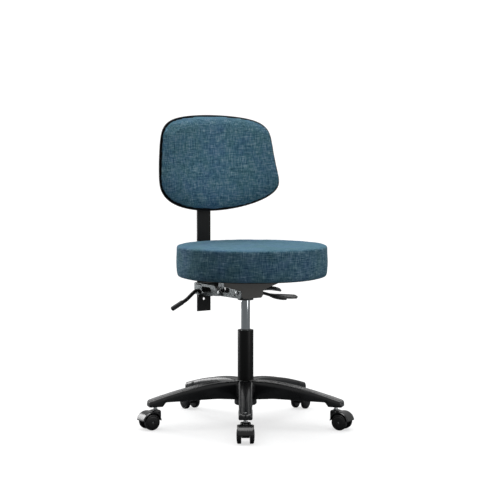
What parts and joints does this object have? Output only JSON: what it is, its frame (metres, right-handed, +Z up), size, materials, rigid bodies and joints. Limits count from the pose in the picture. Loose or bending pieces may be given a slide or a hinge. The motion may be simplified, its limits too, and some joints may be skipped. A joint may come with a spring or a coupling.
{
  "type": "dentist stool",
  "caption": "Wheeled dentist stool with a round upholstered seat, a curved tilting backrest on a flat steel post, a gas-lift column and a star base.",
  "frame": {"origin": "on the floor under the middle of the whole stool at rest", "axes": "+Z up, -Y the way the sitter faces, +X the sitter's left"},
  "size_m": [0.6743, 0.6452, 0.9741],
  "materials": {
    "upholstery": "cross-woven, heathered",
    "board": "plywood",
    "shell": "fine moulded grain",
    "black_steel": "black powder coat",
    "chrome": "polished",
    "bright_steel": "zinc plated",
    "mechanism_steel": "grey zinc sheet",
    "dark_steel": "dark grey satin",
    "nylon": "glass-filled nylon, satin",
    "rubber": "matt",
    "caster_hood": "gloss",
    "caster_wheel": "hard tread"
  },
  "bodies": {
    "base": {"base_star": "nylon", "column_tube": "black_steel", "guide_bush": "shell", "thrust_bearing": "bright_steel"},
    "rotor": {"piston_rod": "bright_steel", "rod_buffer": "rubber", "retaining_clip": "bright_steel"},
    "control": {"gas_cylinder": "chrome", "tilt_yoke": "dark_steel", "lever_shaft": "bright_steel"},
    "button": {"release_button": "bright_steel"},
    "height_lever": {"height_lever": "dark_steel"},
    "recline_lever": {"recline_lever": "dark_steel"},
    "tilt_lever": {"tilt_lever": "dark_steel"},
    "seat": {"seat_pan": "mechanism_steel", "tilt_pin_left": "bright_steel", "tilt_pin_right": "bright_steel", "seat_board": "board", "seat_cushion": "upholstery", "seat_bolt_1": "bright_steel", "seat_bolt_2": "bright_steel", "seat_bolt_3": "bright_steel", "seat_bolt_4": "bright_steel"},
    "back_arm": {"back_arm": "mechanism_steel", "arm_pin": "bright_steel", "post_clamp": "mechanism_steel"},
    "lock_lever": {"back_lock_lever": "black_steel", "back_lock_grip": "rubber"},
    "back": {"back_post": "black_steel", "back_plate": "dark_steel", "back_shell": "shell", "back_board": "board", "back_cushion": "upholstery", "back_screw_1": "bright_steel", "back_screw_2": "bright_steel"},
    "caster_1": {"caster_1_stem": "bright_steel", "caster_1_hood": "caster_hood", "caster_1_axle": "bright_steel"},
    "caster_1_wheel_left": {"caster_1_wheel_left": "caster_wheel"},
    "caster_1_wheel_right": {"caster_1_wheel_right": "caster_wheel"},
    "caster_2": {"caster_2_stem": "bright_steel", "caster_2_hood": "caster_hood", "caster_2_axle": "bright_steel"},
    "caster_2_wheel_left": {"caster_2_wheel_left": "caster_wheel"},
    "caster_2_wheel_right": {"caster_2_wheel_right": "caster_wheel"},
    "caster_3": {"caster_3_stem": "bright_steel", "caster_3_hood": "caster_hood", "caster_3_axle": "bright_steel"},
    "caster_3_wheel_left": {"caster_3_wheel_left": "caster_wheel"},
    "caster_3_wheel_right": {"caster_3_wheel_right": "caster_wheel"},
    "caster_4": {"caster_4_stem": "bright_steel", "caster_4_hood": "caster_hood", "caster_4_axle": "bright_steel"},
    "caster_4_wheel_left": {"caster_4_wheel_left": "caster_wheel"},
    "caster_4_wheel_right": {"caster_4_wheel_right": "caster_wheel"},
    "caster_5": {"caster_5_stem": "bright_steel", "caster_5_hood": "caster_hood", "caster_5_axle": "bright_steel"},
    "caster_5_wheel_left": {"caster_5_wheel_left": "caster_wheel"},
    "caster_5_wheel_right": {"caster_5_wheel_right": "caster_wheel"}
  },
  "joints": [
    {"name": "seat_swivel", "type": "hinge", "parent": "base", "child": "rotor", "pos_m": [0, -0.02558, 0.06], "axis": [0, 0, 1], "continuous": true},
    {"name": "seat_lift", "type": "slide", "parent": "rotor", "child": "control", "axis": [0, 0, 1], "range_m": [-0.085, 0.045]},
    {"name": "button_press", "type": "slide", "parent": "control", "child": "button", "axis": [0, 0, -1], "range_m": [0, 0.005], "stiffness_N_per_m": 300, "springref_m": -0.002},
    {"name": "height_lever_turn", "type": "hinge", "parent": "control", "child": "height_lever", "pos_m": [0.0345, -0.01158, 0.4155], "axis": [0, -1, 0], "range_deg": [0, 8], "stiffness_Nm_per_rad": 0.5, "springref_deg": -11.46},
    {"name": "recline_lever_turn", "type": "hinge", "parent": "control", "child": "recline_lever", "pos_m": [0.0345, -0.00158, 0.4155], "axis": [0, -1, 0], "range_deg": [-8, 8]},
    {"name": "tilt_lever_turn", "type": "hinge", "parent": "control", "child": "tilt_lever", "pos_m": [0.0345, 0.00843, 0.4155], "axis": [0, -1, 0], "range_deg": [-8, 8]},
    {"name": "seat_tilt", "type": "hinge", "parent": "control", "child": "seat", "pos_m": [0, -0.03757, 0.418], "axis": [1, 0, 0], "range_deg": [-4, 4]},
    {"name": "back_tilt", "type": "hinge", "parent": "seat", "child": "back_arm", "pos_m": [0, 0.05443, 0.4105], "axis": [-1, 0, 0], "range_deg": [-3, 12]},
    {"name": "back_lock_turn", "type": "hinge", "parent": "back_arm", "child": "lock_lever", "pos_m": [-0.054, 0.14943, 0.388], "axis": [0, 0, 1], "range_deg": [-20, 20]},
    {"name": "back_height", "type": "slide", "parent": "back_arm", "child": "back", "axis": [0, 0, 1], "range_m": [-0.03, 0.03]},
    {"name": "caster_1_swivel", "type": "hinge", "parent": "base", "child": "caster_1", "pos_m": [0, 0.26943, 0.07], "axis": [0, 0, 1], "continuous": true},
    {"name": "caster_1_roll_left", "type": "hinge", "parent": "caster_1", "child": "caster_1_wheel_left", "pos_m": [0, 0.29042, 0.025], "axis": [1, 0, 0], "continuous": true},
    {"name": "caster_1_roll_right", "type": "hinge", "parent": "caster_1", "child": "caster_1_wheel_right", "pos_m": [0, 0.29042, 0.025], "axis": [1, 0, 0], "continuous": true},
    {"name": "caster_2_swivel", "type": "hinge", "parent": "base", "child": "caster_2", "pos_m": [0.28056, 0.06559, 0.07], "axis": [0, 0, 1], "continuous": true},
    {"name": "caster_2_roll_left", "type": "hinge", "parent": "caster_2", "child": "caster_2_wheel_left", "pos_m": [0.29975, 0.07413, 0.025], "axis": [0.4067, -0.9135, 0], "continuous": true},
    {"name": "caster_2_roll_right", "type": "hinge", "parent": "caster_2", "child": "caster_2_wheel_right", "pos_m": [0.29975, 0.07413, 0.025], "axis": [0.4067, -0.9135, 0], "continuous": true},
    {"name": "caster_3_swivel", "type": "hinge", "parent": "base", "child": "caster_3", "pos_m": [0.1734, -0.26423, 0.07], "axis": [0, 0, 1], "continuous": true},
    {"name": "caster_3_roll_left", "type": "hinge", "parent": "caster_3", "child": "caster_3_wheel_left", "pos_m": [0.18194, -0.28342, 0.025], "axis": [-0.9135, -0.4067, 0], "continuous": true},
    {"name": "caster_3_roll_right", "type": "hinge", "parent": "caster_3", "child": "caster_3_wheel_right", "pos_m": [0.18194, -0.28342, 0.025], "axis": [-0.9135, -0.4067, 0], "continuous": true},
    {"name": "caster_4_swivel", "type": "hinge", "parent": "base", "child": "caster_4", "pos_m": [-0.1734, -0.26423, 0.07], "axis": [0, 0, 1], "continuous": true},
    {"name": "caster_4_roll_left", "type": "hinge", "parent": "caster_4", "child": "caster_4_wheel_left", "pos_m": [-0.18574, -0.28123, 0.025], "axis": [-0.809, 0.5878, 0], "continuous": true},
    {"name": "caster_4_roll_right", "type": "hinge", "parent": "caster_4", "child": "caster_4_wheel_right", "pos_m": [-0.18574, -0.28123, 0.025], "axis": [-0.809, 0.5878, 0], "continuous": true},
    {"name": "caster_5_swivel", "type": "hinge", "parent": "base", "child": "caster_5", "pos_m": [-0.28056, 0.06559, 0.07], "axis": [0, 0, 1], "continuous": true},
    {"name": "caster_5_roll_left", "type": "hinge", "parent": "caster_5", "child": "caster_5_wheel_left", "pos_m": [-0.30151, 0.06705, 0.025], "axis": [0.0698, 0.9976, 0], "continuous": true},
    {"name": "caster_5_roll_right", "type": "hinge", "parent": "caster_5", "child": "caster_5_wheel_right", "pos_m": [-0.30151, 0.06705, 0.025], "axis": [0.0698, 0.9976, 0], "continuous": true}
  ],
  "couplings": [
    {"joint": "button_press", "follows": "height_lever_turn", "m_per_rad": 0.0345}
  ]
}
